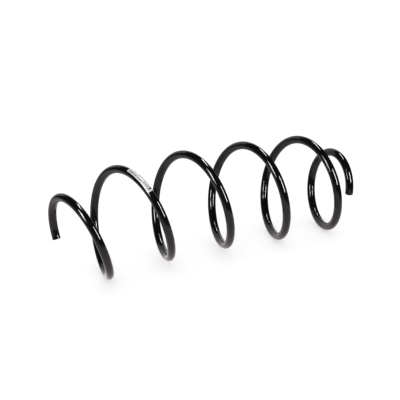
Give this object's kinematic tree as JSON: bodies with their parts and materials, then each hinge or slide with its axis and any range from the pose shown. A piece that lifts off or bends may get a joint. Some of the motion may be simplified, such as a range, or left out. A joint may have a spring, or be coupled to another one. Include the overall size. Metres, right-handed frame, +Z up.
{
  "type": "suspension spring",
  "caption": "Bowed coil spring wound from one round gloss-painted bar, with smaller and flatter end coils and a plain label on one turn.",
  "frame": {"origin": "on the floor under the middle of the spring's box, as it lies on its side", "axes": "+X along the coil from the end with the short taper to the end with the long taper, +Z up from the floor it lies on, -Y the side that the label faces"},
  "size_m": [0.461, 0.1572, 0.1614],
  "materials": {
    "black_paint": "gloss",
    "label_stock": "satin"
  },
  "bodies": {
    "root": {"spring_wire": "black_paint", "label": "label_stock"}
  },
  "joints": []
}
